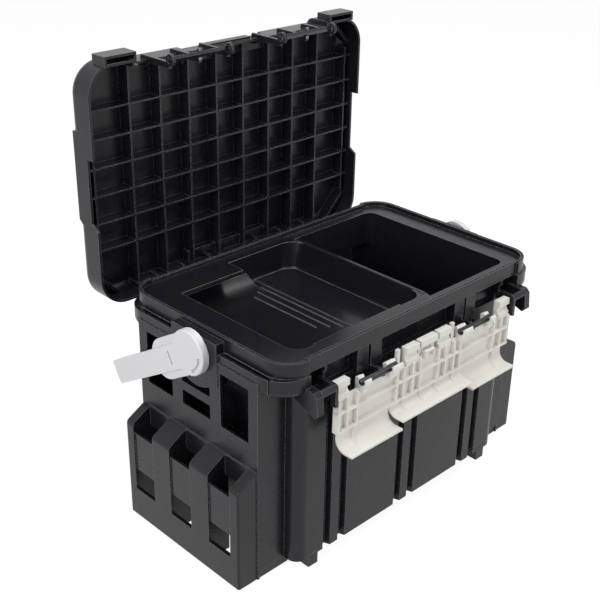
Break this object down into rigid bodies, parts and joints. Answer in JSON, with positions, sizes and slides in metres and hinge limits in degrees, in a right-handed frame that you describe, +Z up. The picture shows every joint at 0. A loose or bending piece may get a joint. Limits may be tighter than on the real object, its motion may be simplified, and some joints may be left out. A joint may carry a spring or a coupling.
{
  "type": "fishing seat box",
  "caption": "Black plastic fishing seat box with a ribbed two-way lid, side rod pockets, lift-out tray, clip latches and a white carrying handle.",
  "frame": {"origin": "on the floor under the middle of the box", "axes": "+X along the long side of the box to the right, +Y to the back where the lid is hinged, +Z up"},
  "size_m": [0.516, 0.3985, 0.5555],
  "materials": {
    "black_shell": "satin",
    "black_gloss": "semi gloss",
    "white_handle": "satin",
    "light_latch": "satin"
  },
  "bodies": {
    "box": {"tub": "black_shell", "front_hinge_rod_left": "black_shell", "front_hinge_rod_right": "black_shell", "rear_hinge_rod_left": "black_shell", "rear_hinge_rod_right": "black_shell", "handle_pivot_left": "white_handle", "handle_pivot_right": "white_handle"},
    "lid": {"lid": "black_shell", "lid_front_rod_left": "black_shell", "lid_front_rod_right": "black_shell", "lid_rear_rod_left": "black_shell", "lid_rear_rod_right": "black_shell"},
    "front_latch": {"front_latch": "light_latch", "front_latch_pin": "light_latch"},
    "rear_latch": {"rear_latch": "light_latch", "rear_latch_pin": "light_latch"},
    "handle": {"handle_arm_left": "white_handle", "handle_arm_right": "white_handle", "handle_grip": "white_handle", "hub_housing_left": "white_handle", "hub_housing_right": "white_handle"},
    "tray": {"inner_tray": "black_gloss"}
  },
  "joints": [
    {"name": "lid_hinge", "type": "hinge", "parent": "box", "child": "lid", "pos_m": [0, 0.151, 0.2445], "axis": [-1, 0, 0], "range_deg": [-90, 0]},
    {"name": "front_latch_hinge", "type": "hinge", "parent": "box", "child": "front_latch", "pos_m": [0, -0.151, 0.2445], "axis": [1, 0, 0], "range_deg": [-176, 0]},
    {"name": "rear_latch_hinge", "type": "hinge", "parent": "lid", "child": "rear_latch", "pos_m": [0, 0.151, 0.2445], "axis": [-1, 0, 0], "range_deg": [0, 45]},
    {"name": "handle_swing", "type": "hinge", "parent": "box", "child": "handle", "pos_m": [0, 0, 0.2655], "axis": [-1, 0, 0], "range_deg": [-12, 0]},
    {"name": "tray_lift", "type": "slide", "parent": "box", "child": "tray", "axis": [0, 0, 1], "range_m": [0, 0.08]}
  ]
}
